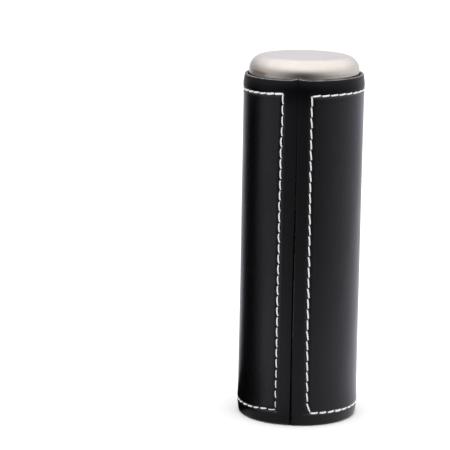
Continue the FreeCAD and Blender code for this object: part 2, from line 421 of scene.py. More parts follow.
def thread_material():
    """Waxed off-white thread: each ply shows its own fibres, and it is darker in the grooves between the
    plies.
    """
    m = Material("thread_waxed", (0.8, 0.78, 0.74), 0.6)
    where = m.place()
    fibres = m.noise(where, 9.0, 5.0, 0.7, 1.5)
    between = m.attribute("ply")
    light = m.ramp(fibres, [(0.3, (0.66, 0.64, 0.6)), (0.65, (0.86, 0.85, 0.82))])
    m.colour_from(m.mix(m.remap(between, 0.0, 0.45, 0.75, 0.0), light, (0.34, 0.32, 0.29)))
    m.relief(fibres, 0.05, 0.5)
    m.set(Sheen_Weight=0.15, Sheen_Roughness=0.4)
    return m.data


def steel_material(name, colour, turned):
    """Satin steel. turned: brushed round the axis; otherwise drawn along it."""
    m = Material(name, colour, 0.3, 1.0)
    where = m.place()
    x, y, z = m.split(where)
    radius = m.math("POWER", m.math("ADD", m.math("POWER", x, 2.0), m.math("POWER", y, 2.0)), 0.5)
    angle = m.math("ARCTAN2", x, y)
    round_axis = (("X", radius, 14.0), ("Y", angle, 0.8), ("Z", z, 14.0))
    along_axis = (("X", angle, 260.0), ("Y", z, 0.25))
    brush = m.node("CombineXYZ")
    for socket, value, scale in round_axis if turned else along_axis:
        m.link(m.math("MULTIPLY", value, scale), brush.inputs[socket])
    lines = m.noise(brush.outputs["Vector"], 1.0, 4.0, 0.65)
    stains = m.noise(where, 0.16, 3.0, 0.55)
    darker = tuple(0.93 * value for value in colour)
    m.colour_from(m.mix(m.remap(stains, 0.35, 0.7, 0.0, 1.0), colour, darker))
    stained = m.remap(stains, 0.3, 0.7, -0.02, 0.03)
    m.roughness_from(m.math("ADD", m.remap(lines, 0.3, 0.7, 0.2, 0.28), stained))
    m.relief(lines, 0.004, 0.5)
    m.relief(m.noise(m.place((1, 1, 1), (20, 30, 0)), 0.14, 2.0, 0.5, 1.0), 0.1, 0.35)
    m.set(Anisotropic=0.35)
    tangent = m.node("Tangent", direction_type="RADIAL", axis="Z")
    m.link(tangent.outputs["Tangent"], m.shader.inputs["Tangent"])
    return m.data


def felt_material():
    """Dense black wool felt: matted clumps, fibres lying every way, and a few pale flecks of lint."""
    m = Material("felt_black", (0.02, 0.02, 0.022), 1.0)
    where = m.place()
    clumps = m.noise(where, 0.75, 5.0, 0.7, 1.0)
    one_way = m.noise(m.place((1, 1, 0.2), (25, 40, 10)), 5.0, 3.0, 0.65, 2.0)
    other_way = m.noise(m.place((0.2, 1, 1), (10, 20, 55)), 5.0, 3.0, 0.65, 2.0)
    fibres = m.math("MAXIMUM", one_way, other_way)
    both = m.math("ADD", m.math("MULTIPLY", clumps, 0.5), m.math("MULTIPLY", fibres, 0.5))
    stops = [(0.42, (0.004, 0.004, 0.005)), (0.56, (0.016, 0.016, 0.018)), (0.7, (0.06, 0.06, 0.066))]
    dark = m.ramp(both, stops)
    lint = m.remap(m.noise(m.place((1, 1, 0.3), (60, 10, 30)), 1.9, 3.0, 0.6, 3.0), 0.7, 0.76, 0.0, 0.5)
    m.colour_from(m.mix(lint, dark, (0.12, 0.12, 0.125)))
    m.relief(clumps, 0.5, 0.6)
    m.relief(fibres, 0.2, 0.9)
    m.set(Sheen_Weight=0.2, Sheen_Roughness=0.5, Specular_IOR_Level=0.15)
    return m.data


def wood_material():
    """Bare turned beech: fine flecks along the grain and faint tool rings."""
    m = Material("wood_beech", (0.5, 0.33, 0.19), 0.55)
    board = m.place((1, 0.18, 1), (8, 0, 20))
    figure = m.noise(board, 0.35, 4.0, 0.55, 1.0)
    numbers = {"Scale": 0.12, "Distortion": 3.0, "Detail": 3.0}
    rings = m.node("TexWave", numbers, wave_type="BANDS", bands_direction="X")
    m.link(board, rings.inputs["Vector"])
    flecks = m.noise(m.place((3.0, 0.35, 3.0), (8, 0, 20)), 1.6, 2.0, 0.6)
    blend = m.math("ADD", m.math("MULTIPLY", rings.outputs["Fac"], 0.2), m.math("MULTIPLY", figure, 0.8))
    tone = m.ramp(blend, [(0.2, (0.36, 0.22, 0.12)), (0.5, (0.47, 0.31, 0.18)), (0.8, (0.56, 0.39, 0.24))])
    m.colour_from(m.mix(m.remap(flecks, 0.56, 0.68, 0.0, 0.65), tone, (0.24, 0.13, 0.07)))
    m.roughness_from(m.remap(figure, 0.3, 0.7, 0.48, 0.62))
    m.relief(flecks, 0.04, 0.5)
    return m.data


def rubber_material():
    m = Material("rubber_black", (0.018, 0.018, 0.019), 0.58)
    dust = m.noise(m.place(), 0.9, 5.0, 0.65)
    m.colour_from(m.ramp(dust, [(0.4, (0.014, 0.014, 0.015)), (0.75, (0.045, 0.045, 0.046))]))
    m.roughness_from(m.remap(dust, 0.3, 0.7, 0.5, 0.68))
    m.relief(m.noise(m.place(), 6.0, 3.0), 0.02, 0.4)
    return m.data


def die_material():
    """Ivory plastic with faint clouding and handling marks."""
    m = Material("die_ivory", (0.8, 0.76, 0.66), 0.24)
    clouds = m.noise(m.place(), 0.22, 3.0, 0.5)
    rubbed = m.noise(m.place(), 1.4, 5.0, 0.6)
    m.colour_from(m.ramp(clouds, [(0.3, (0.74, 0.69, 0.57)), (0.7, (0.84, 0.81, 0.72))]))
    m.roughness_from(m.remap(rubbed, 0.35, 0.7, 0.18, 0.34))
    m.relief(m.noise(m.place(), 0.7, 2.0), 0.02, 0.25)
    m.set(Subsurface_Weight=0.12, Subsurface_Scale=0.002)
    return m.data


def pip_material():
    m = Material("pip_paint", (0.012, 0.012, 0.014), 0.4)
    brushy = m.noise(m.place(), 3.0, 3.0, 0.6)
    m.colour_from(m.ramp(brushy, [(0.35, (0.008, 0.008, 0.009)), (0.7, (0.02, 0.02, 0.022))]))
    m.roughness_from(m.remap(brushy, 0.3, 0.7, 0.32, 0.5))
    m.relief(brushy, 0.03, 0.4)
    return m.data


LEATHER = leather_material()
CUT_EDGE = cut_edge_material()
# Black edge dye, which also stands for painted shade in the seam's gap and inside the rim
DYED_EDGE_AND_SHADE = dyed_edge_and_shade_material()
BACKING = backing_material()
THREAD = thread_material()
STEEL = steel_material("steel_satin", (0.628, 0.597, 0.505), True)
TUBE_STEEL = steel_material("steel_drawn", (0.5, 0.49, 0.48), False)
FELT_BLACK = felt_material()
WOOD = wood_material()
RUBBER = rubber_material()
IVORY = die_material()
PIP = pip_material()


# ---- the sewn rows

# A hand-sewn row isn't level. These say how far it strays, in millimetres.
ROW_DROP, DROP_REACH = 0.25, 40.0
ROW_TILT = {"top": 0.3, "bottom": -0.09}
LEFT_CORNER_RISE = {"top": 0.45, "bottom": 0.9}
RIGHT_CORNER_RISE = {"top": -0.15, "bottom": 0.2}
CORNER_REACH = 9.0
LEFT_LEAN = 0.45
RIGHT_IN_AT_TOP = 0.3
RIGHT_OUT_LOW_DOWN = 0.5
RIGHT_OUT_AT_CORNER = 1.2

# The most that one hole strays along its row and across it
ROUND_STRAY = (0.12, 0.08)
UP_STRAY = (0.12, 0.07)

# By the seam: how far its left edge ends above its right one, and how far its gap spreads the mesh
SEAM_STEP = 0.3
SEAM_REACH = 3.2


def signed(along):
    """A length round the leather, brought to the range either side of the seam."""
    return (np.asarray(along, float) + ROUND / 2) % ROUND - ROUND / 2


def row_height(which, along):
    """The height of the top or bottom row at a length round the leather."""
    s = signed(along)
    height = ROW_TOP if which == "top" else ROW_BOTTOM
    tilt = ROW_TILT[which] * np.sin(s / CUP_R)
    left = LEFT_CORNER_RISE[which] * np.where(s < 0, bump(s - COLUMN_LEFT, CORNER_REACH), 0)
    right = RIGHT_CORNER_RISE[which] * np.where(s > 0, bump(s - COLUMN_RIGHT, CORNER_REACH), 0)
    return height - ROW_DROP * (1 - bump(s, DROP_REACH)) + tilt + left + right


def column_along(side, height):
    """The length from the seam to an upright row at a height. The right row drifts out as it goes down."""
    share = (np.asarray(height, float) - ROW_BOTTOM) / (ROW_TOP - ROW_BOTTOM)
    if side == "left":
        return COLUMN_LEFT + LEFT_LEAN * ease((share - 0.75) / 0.25)
    inwards = RIGHT_IN_AT_TOP * (1 - ease((0.9 - share) / 0.5))
    outwards = RIGHT_OUT_LOW_DOWN * ease((0.3 - share) / 0.3)
    return COLUMN_RIGHT - inwards + outwards + RIGHT_OUT_AT_CORNER * ease((0.035 - share) / 0.035)


def corner(which, side):
    height = float(row_height(which, COLUMN_LEFT if side == "left" else COLUMN_RIGHT))
    return float(column_along(side, ROW_TOP if which == "top" else ROW_BOTTOM)), height


def stray(most):
    return RANDOM.uniform(-most, most)


def holes_round(which):
    """The holes of the top or bottom row, from the right upright row round the back to the left one."""
    start, end = corner(which, "right")[0], corner(which, "left")[0] + ROUND
    spots = np.linspace(start, end, STITCHES_ROUND + 1)
    shift, lift = ([0.0] + [stray(most) for _ in spots[1:-1]] + [0.0] for most in ROUND_STRAY)
    return [(s + a, float(row_height(which, s)) + b) for s, a, b in zip(spots, shift, lift)]


def holes_up(side):
    """The holes of an upright row, from the bottom up."""
    first, last = corner("bottom", side), corner("top", side)
    heights = np.linspace(first[1], last[1], STITCHES_UP + 1)
    spots = [(float(column_along(side, h)), float(h)) for h in heights]
    moved = [(s + stray(UP_STRAY[1]), h + stray(UP_STRAY[0])) for s, h in spots[1:-1]]
    return [first, *moved, last]


LEVEL_ROWS, UPRIGHT_ROWS = ("top", "bottom"), ("left", "right")
HOLES = {row: holes_round(row) for row in LEVEL_ROWS}
HOLES.update({row: holes_up(row) for row in UPRIGHT_ROWS})


# ---- leather

# The leather's face: what each thing adds to its radius or height, and how far that reaches
GROOVE_DEPTH, GROOVE_WIDTH = 0.26, 0.62
PUFF, PUFF_BESIDE_ROW, PUFF_WIDTH = 0.07, 1.5, 0.8
HOLE_DEPTH = 0.5
HOLE_SIZE = {"level": (0.2, 0.3), "upright": (0.34, 0.2)}
RIM_FLARE, FLARE_RISE = 0.1, 1.8
RIM_TAPER, TAPER_RISE = 0.55, 2.4
RIM_ROUND = 0.32
BOTTOM_ROUND = 0.95
RIM_PEAK = 0.6
FULLNESS = 0.1
LOW_FULLNESS = 0.08
LOW_SWELL, SWELL_WIDTH = 0.16, 5.0
FOOT_TUCK, TUCK_RISE = 0.32, 5.0
SEAM_SINK, SEAM_DIP, DIP_WIDTH = 0.08, 0.24, 4.5
WAVE = 0.035
GRAIN_WAVE = 0.03
THIN_FINISH = 0.93


def rim_rise(s):
    """How far the rim stands above its level: a peak where the two edges push up at the seam."""
    peak = RIM_PEAK * np.where(s < 0.1, bump(s - 0.1, 2.2), 0.75 * bump(s - 0.1, 2.6))
    kinks = 0.09 * np.sin(2.6 * s) * bump(s - 3.2, 2.4)
    return peak + kinks + 0.25 * np.sin(s / CUP_R) - 0.05


def seam_drift(s, z):
    """How far the leather by the seam lies to the left of its even place, most a third of the way up."""
    least, more, fullest_at, tall, wide = 0.33, 0.17, 52.0, 36.0, 5.0
    return -(least + more * bump(z - fullest_at, tall)) * bump(s, wide)


def seam_half_gap(z):
    """Half the seam's gap. The edges press together at the top and part towards the bottom."""
    pressed, parted, foot_parted = 0.17, 0.26, 0.1
    return pressed + parted * ease((120.0 - z) / 50.0) + foot_parted * ease((20.0 - z) / 20.0)


def sewn(gap):
    """The groove that a row lies in and the leather puffed up beside it, by the distance from the row."""
    return -GROOVE_DEPTH * bump(gap, GROOVE_WIDTH) + PUFF * bump(np.abs(gap) - PUFF_BESIDE_ROW, PUFF_WIDTH)


def surface_offset(s, z):
    """How far the leather's face stands off the plain cylinder. s and z are arrays of one shape."""
    offset = np.zeros_like(s)
    turn = s / CUP_R
    beside_seam = (s > COLUMN_LEFT + 1) & (s < COLUMN_RIGHT - 1)
    for which in LEVEL_ROWS:
        offset += np.where(beside_seam, 0.0, 1.0) * sewn(z - row_height(which, s))
    between = ease((z - ROW_BOTTOM) / 1.0 + 0.5) * ease((ROW_TOP - z) / 1.0 + 0.5)
    for side in UPRIGHT_ROWS:
        offset += between * sewn(s - column_along(side, z))
    for row, holes in HOLES.items():
        wide, tall = HOLE_SIZE["level" if row in LEVEL_ROWS else "upright"]
        for a, h in holes:
            a = float(signed(a))
            near = (np.abs(s - a) < 1.2) & (np.abs(z - h) < 1.2)
            offset[near] -= HOLE_DEPTH * bump(s[near] - a, wide) * bump(z[near] - h, tall)
    offset += RIM_FLARE * ease((z - row_height("top", s)) / FLARE_RISE)
    offset -= RIM_TAPER * np.clip((z - CUP_H + TAPER_RISE) / TAPER_RISE, 0, 1) ** 1.5
    offset += FULLNESS + LOW_FULLNESS * ease((60 - z) / 40)
    offset += LOW_SWELL * bump(z - ROW_BOTTOM - 1.0, SWELL_WIDTH)
    offset -= FOOT_TUCK * ease((TUCK_RISE - z) / TUCK_RISE)
    offset -= 0.05 * bump(np.abs(s) - seam_half_gap(z), 0.12)
    dip = SEAM_DIP * ease((z - 20) / 60) * ease((CUP_H + 4 - z) / 12)
    offset -= bump(s, DIP_WIDTH) * (SEAM_SINK + dip)
    return offset + WAVE * np.sin(turn * 3 + z / 21.0) * np.sin(z / 34.0 + 1.3 * np.sin(turn * 2))


def wavering(s, z, scale, seed):
    """Smooth noise over the leather, at each point of two arrays."""
    out = np.empty(s.size)
    for k, (a, h) in enumerate(zip(s.ravel(), z.ravel())):
        turn = a / CUP_R
        spot = Vector((CUP_R * math.sin(turn), CUP_R * math.cos(turn), h * 0.5))
        out[k] = noise.noise(spot / scale + Vector((seed, 0, 0)))
    return out.reshape(s.shape)


def spread_values(values, least):
    """Sorted values with none closer together than least."""
    kept = []
    for value in sorted(values):
        if not kept or value - kept[-1] >= least:
            kept.append(value)
    return kept


def sleeve_columns():
    """Lengths round the leather for the mesh's columns, closer together by the seam and at the holes."""
    marks = [0, 0.05, 0.12, 0.2, 0.3, 0.45, 0.7, 1.0, 1.4, 1.9, 2.5, 3.2]
    marks += [ROUND - mark for mark in marks]
    for column in (COLUMN_RIGHT, ROUND + COLUMN_LEFT):
        marks += list(column + np.linspace(-1.9, 1.9, 20))
    for a, _ in HOLES["top"]:
        marks += [a + step for step in (-0.3, -0.1, 0.1, 0.3, 1.15, 1.9, 2.65)]
    return spread_values([mark for mark in marks if 0 <= mark < ROUND - 0.03], 0.04) + [ROUND]


def sleeve_rows(lowest, highest):
    """Heights for the mesh's rows, closer together at the level rows and at the holes."""
    marks = [lowest, highest]
    for height in (ROW_TOP, ROW_BOTTOM):
        marks += list(height + np.linspace(-2.0, 2.0, 20))
    for _, h in HOLES["right"]:
        marks += [h + step for step in (-0.3, -0.1, 0.1, 0.3, 1.3, 2.1, 2.9)]
    return spread_values([mark for mark in marks if lowest <= mark <= highest - 0.1], 0.1) + [highest]


def sleeve_grid():
    """The leather's face: lengths round, radii and heights, by column and row."""
    columns = np.array(sleeve_columns())
    rows = np.array(sleeve_rows(BOTTOM_ROUND, CUP_H - RIM_ROUND))
    z, column = np.meshgrid(rows, columns)
    half = seam_half_gap(z)
    near = np.clip(1 - column / SEAM_REACH, 0, 1) - np.clip(1 - (ROUND - column) / SEAM_REACH, 0, 1)
    s = signed(column + half * near)
    s[-1] = -half[-1]
    s[0] = half[0]
    radius = CUP_R + surface_offset(s, z) + GRAIN_WAVE * wavering(s, z, 9.0, 3.1)
    top_share = ease((z - row_height("top", s)) / (CUP_H - ROW_TOP))
    low_share = ease((ROW_BOTTOM - z) / ROW_BOTTOM)
    step = np.where(s < 0, SEAM_STEP * bump(s, 12.0), 0)
    height = z + top_share * rim_rise(s) + step * low_share
    return s, radius, height


def leather_piece():
    """One panel wrapped round the cup, as a closed section for each column that is then skinned."""
    s, radius, height = sleeve_grid()
    count, rows = s.shape
    inner = LEATHER_IN + 0.01
    quarter = np.radians(np.linspace(0, 90, 7))[1:]
    rising = quarter[::-1]
    rim_r = radius[:, -1:] - RIM_ROUND * (1 - np.cos(quarter))
    rim_z = height[:, -1:] + RIM_ROUND * np.sin(quarter)
    flat_r = rim_r[:, -1:] * 0.1 + inner * 0.9
    top = rim_z[:, -1:] - 0.06
    foot = height[:, :1] - BOTTOM_ROUND
    inside_z = foot + (top - foot) * np.linspace(1, 0, 5)
    low_r = radius[:, :1] - BOTTOM_ROUND * (1 - np.cos(rising))
    low_z = foot + BOTTOM_ROUND * (1 - np.sin(rising))
    loops_r = np.hstack([radius, rim_r, flat_r, np.full_like(inside_z, inner), low_r])
    loops_z = np.hstack([height, rim_z, top, inside_z, low_z])
    loops_s = np.hstack([s, np.repeat(s[:, -1:], 12, 1), np.repeat(s[:, :1], 6, 1)])
    turn = (loops_s + seam_drift(loops_s, loops_z)) / CUP_R
    points = np.stack([loops_r * np.sin(turn), -loops_r * np.cos(turn), loops_z], -1).reshape(-1, 3)

    # Up the face, over the rim, across its top dyed black, down the flesh side and round the foot. The dye
    # on the top and on the seam's cut ends also stands for painted shade.
    section = [0] * (rows - 1) + [1] * 7 + [2] * 2 + [3] * 3 + [0] * 7
    materials = [LEATHER, CUT_EDGE, DYED_EDGE_AND_SHADE, BACKING]
    faces = strip_faces(count, len(section))
    # The seam's two cut ends (the last two faces) are dyed black, which also paints the shade in the seam's
    # gap.
    piece = make_object("leather_panel", points, faces, materials, section * (count - 1) + [2, 2])
    rubbed = 0.6 * bump(loops_z - CUP_H - rim_rise(loops_s) + RIM_ROUND, 0.25) + 0.5 * bump(loops_z, 0.5)
    paint(piece, "wear", np.clip(rubbed, 0, 1))
    above = loops_z - row_height("top", loops_s)
    strip = ease(0.5 + (loops_s - COLUMN_LEFT) / 1.6) * ease(0.5 - (loops_s - COLUMN_RIGHT) / 1.6)
    thin = strip * ease((above + 9) / 12) + (1 - strip) * ease(0.5 + above / 0.9)
    paint(piece, "finish", 1 - THIN_FINISH * thin)
    return piece


def backing_piece():
    """The ply behind the leather. Its lip stands away from the lid. Its top is a pale cut edge; its inner
    lip and its seam ends are black with edge dye, which also paints the shade in the seam's gap and inside
    the rim.
    """
    inner, outer, lip = TUBE_R, LEATHER_IN, TUBE_R + 0.22
    # How far each side of the seam the ply is black: edge dye, and painted shade at the bottom of the
    # seam's gap
    gap, dyed_and_shaded = 0.06, 1.2
    marks = np.concatenate([np.linspace(gap, 6, 24), np.linspace(6.6, ROUND - 6.6, 220),
                            np.linspace(ROUND - 6, ROUND - gap, 24)])
    s = signed(marks)
    tops = CUP_H + rim_rise(s) - 0.14 + 0.05 * np.sin(marks * 2.3) * np.sin(marks * 0.7)
    points = []
    for a, top in zip(s, tops):
        outside = [(outer, 0.15), (outer, 60), (outer, top - 0.1)]
        corner_line = [(outer - 0.03, top - 0.02), (outer - 0.08, top)]
        lip_line = [(lip + 0.1, top - 0.05), (lip + 0.02, top - 0.2), (lip - 0.02, top - 0.6)]
        inside = [(inner, TUBE_TOP + 0.4), (inner, 60), (inner, 0.15)]
        foot = [(inner + 0.06, 0.04), (inner + 0.2, 0.0), (outer - 0.2, 0.0), (outer - 0.06, 0.04)]
        ring = outside + corner_line + lip_line + inside + foot
        for r, z in ring:
            turn = (a + seam_drift(a, z)) / CUP_R
            points.append((r * math.sin(turn), -r * math.cos(turn), z))
    loop = len(ring)
    # Black faces: the inner lip and the ply behind the seam, edge dye that also stands for painted shade
    chosen = [2 if 2 <= j <= 4 else int(abs(a) < dyed_and_shaded or 5 <= j <= 7) for a in s[:-1] for j in range(loop)]
    materials = [BACKING, DYED_EDGE_AND_SHADE, CUT_EDGE]
    piece = make_object("backing_ply", points, strip_faces(len(s), loop), materials, chosen + [1, 1])
    return piece


# ---- thread

# How high a stitch's crest stands, how deep its ends dive into their holes, and its slight arch
THREAD_LIFT, THREAD_DIVE, THREAD_ARCH = 0.12, 0.8, 0.05

# Its section: the thread drawn tight, its shares of width and height, its plies and its thin ends
PULLED_TIGHT = 0.74
FLATTENED = (1.04, 0.92)
TWIST_DEPTH = 0.14
END_TAPER = 0.4

# How thick the stitches look, by where they are, and the gaps that the bottom row adds
TOP_FAT, TOP_LAST_FAT = 1.1, 1.36
BOTTOM_FAT, BOTTOM_LEFT_FAT, BOTTOM_LAST_FAT = 1.3, 1.05, 0.85
BOTTOM_KNOT, KNOT_FAT = 3, 1.6
BOTTOM_GAP = 0.16
THREAD_TURNS = 2.6
THREAD_RINGS = 20
THREAD_SIDES = 15
PLIES = 3


def thread_shape(start, end, slant, bow, fat, gap, sink):
    """Points and faces of one stitch between two holes.

    slant moves its two ends across the row, apart from each other, and bow its middle. gap is
    what its ends leave free, and sink how far it is drawn into the leather.
    """
    a, b = np.array(start), np.array(end)
    run = b - a
    length = np.linalg.norm(run)
    across = np.array([-run[1], run[0]]) / length
    share = np.linspace(0, 1, THREAD_RINGS + 1)
    reach = (share - 0.5) * (length - gap) / length + 0.5
    level = np.abs(2 * share - 1)
    aside = (share - 0.5) * 2 * slant + (1 - level ** 2) * bow
    spots = a + reach[:, None] * run + aside[:, None] * across
    half = THREAD_R * PULLED_TIGHT * fat
    crest = CUP_R + FULLNESS - GROOVE_DEPTH + 0.88 * half + THREAD_LIFT - sink
    spot_r = crest - THREAD_DIVE * level ** 5 - THREAD_ARCH * level ** 2
    turn = spots[:, 0] / CUP_R
    centre = np.stack([spot_r * np.sin(turn), -spot_r * np.cos(turn), spots[:, 1]], -1)
    tangent = np.gradient(centre, axis=0)
    tangent /= np.linalg.norm(tangent, axis=1)[:, None]
    outwards = np.stack([np.sin(turn), -np.cos(turn), np.zeros_like(turn)], -1)
    side = np.cross(outwards, tangent)
    side /= np.linalg.norm(side, axis=1)[:, None]
    up = np.cross(tangent, side)
    points, ply = [], []
    for k in range(THREAD_RINGS + 1):
        taper = 1 - END_TAPER * level[k] ** 6
        for j in range(THREAD_SIDES):
            angle = 2 * math.pi * j / THREAD_SIDES
            lobe = abs(math.cos(PLIES * (angle - THREAD_TURNS * 2 * math.pi * share[k] / PLIES) / 2))
            r = half * taper * (1 - TWIST_DEPTH + TWIST_DEPTH * math.sqrt(lobe))
            wide, tall = FLATTENED[0] * r * math.cos(angle), FLATTENED[1] * r * math.sin(angle)
            points.append(centre[k] + wide * side[k] + tall * up[k])
            ply.append(lobe)
    return points, strip_faces(THREAD_RINGS + 1, THREAD_SIDES), ply


def stitch_habit(row, k, count):
    """How one stitch lies in its row: slant, bow, fatness, gap and sink."""
    wobble = stray(0.06)
    fat = RANDOM.uniform(0.94, 1.06)
    if row == "right":
        return 0.2 + wobble, stray(0.05), fat, 0.32, 0.0
    if row == "left":
        low_share = 1 - ease(k / count / 0.3)
        return 0.14 + wobble, 0.16 + wobble, fat * (0.94 - 0.16 * low_share), 0.3, 0.18 * low_share
    slant, bow, gap = 0.13 + wobble, stray(0.05), RANDOM.uniform(0.3, 0.5)
    if row == "top":
        return slant, bow, fat * (TOP_LAST_FAT if k >= count - 2 else TOP_FAT), gap, 0.0
    if k == count - 1:
        return 0.12, -0.16, fat * BOTTOM_LAST_FAT, gap, 0.12
    if k > count / 2:
        return slant, bow, fat * BOTTOM_LEFT_FAT, gap + BOTTOM_GAP, 0.0
    return slant, bow, fat * (KNOT_FAT if k == BOTTOM_KNOT else BOTTOM_FAT), gap + BOTTOM_GAP, -0.04


def thread_row(name, row):
    holes = HOLES[row]
    points, faces, plies = [], [], []
    for k, (start, end) in enumerate(zip(holes, holes[1:])):
        made, made_faces, ply = thread_shape(start, end, *stitch_habit(row, k, len(holes) - 1))
        faces += [tuple(len(points) + v for v in face) for face in made_faces]
        points += made
        plies += ply
    piece = make_object(name, points, faces, [THREAD])
    paint(piece, "ply", plies)
    return piece


# ---- steel, wood, rubber and felt

def drawn_profile(radius, foot, top, corner_r, crown, lip):
    """A drawn cap's outer line from its foot to the axis: wall, rounded corner and slight crown."""
    inset = radius - corner_r
    rise = corner_r + crown
    level = top - rise
    big = (inset ** 2 + rise ** 2 - corner_r ** 2) / (2 * (rise - corner_r))
    lean = math.asin(inset / (big - corner_r))
    wall = [(radius, foot + lip), (radius, foot + lip + 0.1), (radius, (foot + level) / 2)]
    corner_line = arc_points((inset, level), corner_r, 0, 90 - math.degrees(lean), 26)
    crown_line = arc_points((0, top - big), big, 90 - math.degrees(lean), 90, 20)[1:]
    return wall + corner_line + crown_line


def cap_outline(radius, foot, top, corner_r, crown):
    lip = 0.18
    outer = drawn_profile(radius, foot, top, corner_r, crown, lip)
    inner = drawn_profile(radius - SHEET_STEEL, foot, top - SHEET_STEEL, corner_r - SHEET_STEEL, crown, lip)
    lip_line = arc_points((radius - SHEET_STEEL + lip, foot + lip), lip, 180, 270, 4)[1:]
    lip_line += arc_points((radius - lip, foot + lip), lip, 270, 360, 4)[:-1]
    outer[-1], inner[-1] = (0, outer[-1][1]), (0, inner[-1][1])
    return lip_line + outer + inner[::-1]


def lid_shell():
    return lathe("lid_dome", cap_outline(LID_R, LID_FOOT, LID_TOP, DOME_CORNER, DOME_CROWN), STEEL, 256)


def base_shell():
    foot, top = high("base_cap").z, low("base_cap").z
    outline = cap_outline(high("base_cap").x, -foot, -top, CAP_CORNER, CAP_CROWN)
    return lathe("base_disc", [(r, -z) for r, z in outline], STEEL, 256)


def tube_piece():
    corners = [(BORE_R, TUBE_LOW), (TUBE_R, TUBE_LOW), (TUBE_R, TUBE_TOP), (BORE_R, TUBE_TOP)]
    return lathe("steel_tube", rounded(corners, 0.22), TUBE_STEEL, 224)


def lid_plug_piece():
    """The lid's turned plug, with the seal's groove and a softened lower edge."""
    clearance, groove_depth, half = 0.25, 2.2, 1.2
    skirt, base, top = BORE_R - clearance, low("lid_plug").z, high("lid_plug").z
    shoulder_r = high("lid_plug").x
    seal = middle("lid_seal").z
    groove = high("lid_seal").x - groove_depth
    shoulder = LID_TOP - DOME_CROWN - DOME_CORNER
    outline = rounded([
        (0, base),
        (skirt, base, 0.6),
        (skirt, seal - half),
        (groove, seal - half, 0.15),
        (groove, seal + half, 0.15),
        (skirt, seal + half),
        (skirt, LID_FOOT, 0.1),
        (shoulder_r, LID_FOOT, 0.1),
        (shoulder_r, shoulder),
        (shoulder_r - (top - shoulder), top),
        (0, top),
    ], 0.25)
    return lathe("lid_core", outline, WOOD, 192)


def base_plug_piece():
    low_z, top = low("base_plug").z, high("base_plug").z
    cap_in = high("base_cap").x - SHEET_STEEL
    outline = rounded([
        (0, low_z), (cap_in - CAP_CORNER, low_z), (cap_in, low_z + CAP_CORNER),
        (cap_in, TUBE_LOW, 0), (BORE_R, TUBE_LOW, 0), (BORE_R, top), (0, top),
    ], 0.3)
    return lathe("base_core", outline, WOOD, 160)


def seal_piece():
    """A moulded ring: round in section, with the faint flash line of its mould."""
    steps, flash = 40, 0.03
    wire = (high("lid_seal").z - low("lid_seal").z) / 2
    centre_r, centre_z = high("lid_seal").x - wire - flash, middle("lid_seal").z
    outline = []
    for k in range(steps):
        turn = 2 * math.pi * k / steps
        reach = wire + (flash if k in (0, steps // 2) else 0.0)
        outline.append((centre_r + reach * math.cos(turn), centre_z + wire * math.sin(turn)))
    return lathe("lid_ring", outline, RUBBER, 192)


def felt_wall():
    """The lining: one strip of felt bent round, its face slightly uneven, with a butt joint at the back."""
    inner, outer = BORE_R - FELT, BORE_R - 0.01
    z0, z1 = low("wall_lining").z, high("wall_lining").z
    gap, softened = 0.12, 0.3
    turns = np.linspace(math.pi + gap / inner, 3 * math.pi - gap / inner, 241)
    heights = np.concatenate([[z0], np.linspace(z0 + 0.4, z1 - 0.5, 72), [z1 - 0.25, z1 - 0.08]])

    def uneven(turn, z):
        spot = Vector((inner * math.sin(turn), inner * math.cos(turn), z))
        return 0.07 * noise.noise(spot / 2.2) + 0.05 * noise.noise(spot / 0.9)

    points = []
    for turn in turns:
        ring = [(inner + 0.02 + softened * bump(z - z1, 0.22) + uneven(turn, z), z) for z in heights]
        ring += [(inner + 0.42, z1 + 0.03 * uneven(turn, z1)), (outer - 0.25, z1)]
        ring += [(outer, z1 - 0.2), (outer, z0)]
        points += [(r * math.sin(turn), -r * math.cos(turn), z) for r, z in ring]
    piece = make_object("felt_lining", points, strip_faces(len(turns), len(ring)), [FELT_BLACK])
    return piece


def felt_disc(name, node, exposed_up):
    """A cut disc of felt: soft edges, and a face that is slightly uneven."""
    radius, z0, z1 = high(node).x, low(node).z, high(node).z
    soft = 0.3
    rim = [(radius - soft, z1)] + arc_points((radius - soft, z1 - soft), soft, 90, 0, 4)[1:]
    rim += arc_points((radius - soft, z0 + soft), soft, 0, -90, 4)
    radii = list(np.linspace(0, radius - soft - 0.3, 36))
    outline = [(r, z1) for r in radii] + rim + [(r, z0) for r in reversed(radii)]
    piece = lathe(name, outline, FELT_BLACK, 160)
    for vertex in piece.data.vertices:
        spot = Vector(vertex.co) / MM
        exposed = (spot.z > (z0 + z1) / 2) == exposed_up
        if exposed and math.hypot(spot.x, spot.y) < radius - 0.1:
            sink = 0.05 + 0.06 * noise.noise(spot / 2.0) + 0.04 * noise.noise(spot / 0.8)
            vertex.co.z += (-sink if exposed_up else sink) * MM
    return piece


# ---- dice

PIP_PLACES = {
    1: [(0, 0)],
    2: [(-1, -1), (1, 1)],
    3: [(-1, -1), (0, 0), (1, 1)],
    4: [(-1, -1), (-1, 1), (1, -1), (1, 1)],
    5: [(-1, -1), (-1, 1), (0, 0), (1, -1), (1, 1)],
    6: [(-1, -1), (-1, 0), (-1, 1), (1, -1), (1, 0), (1, 1)],
}
NUMBER_TO_TOP = {1: ("X", 0), 2: ("X", -90), 3: ("Y", -90), 4: ("Y", 90), 5: ("X", 90), 6: ("X", 180)}


def turn_to_top(number):
    axis, degrees = NUMBER_TO_TOP[number]
    return Matrix.Rotation(math.radians(degrees), 4, axis)


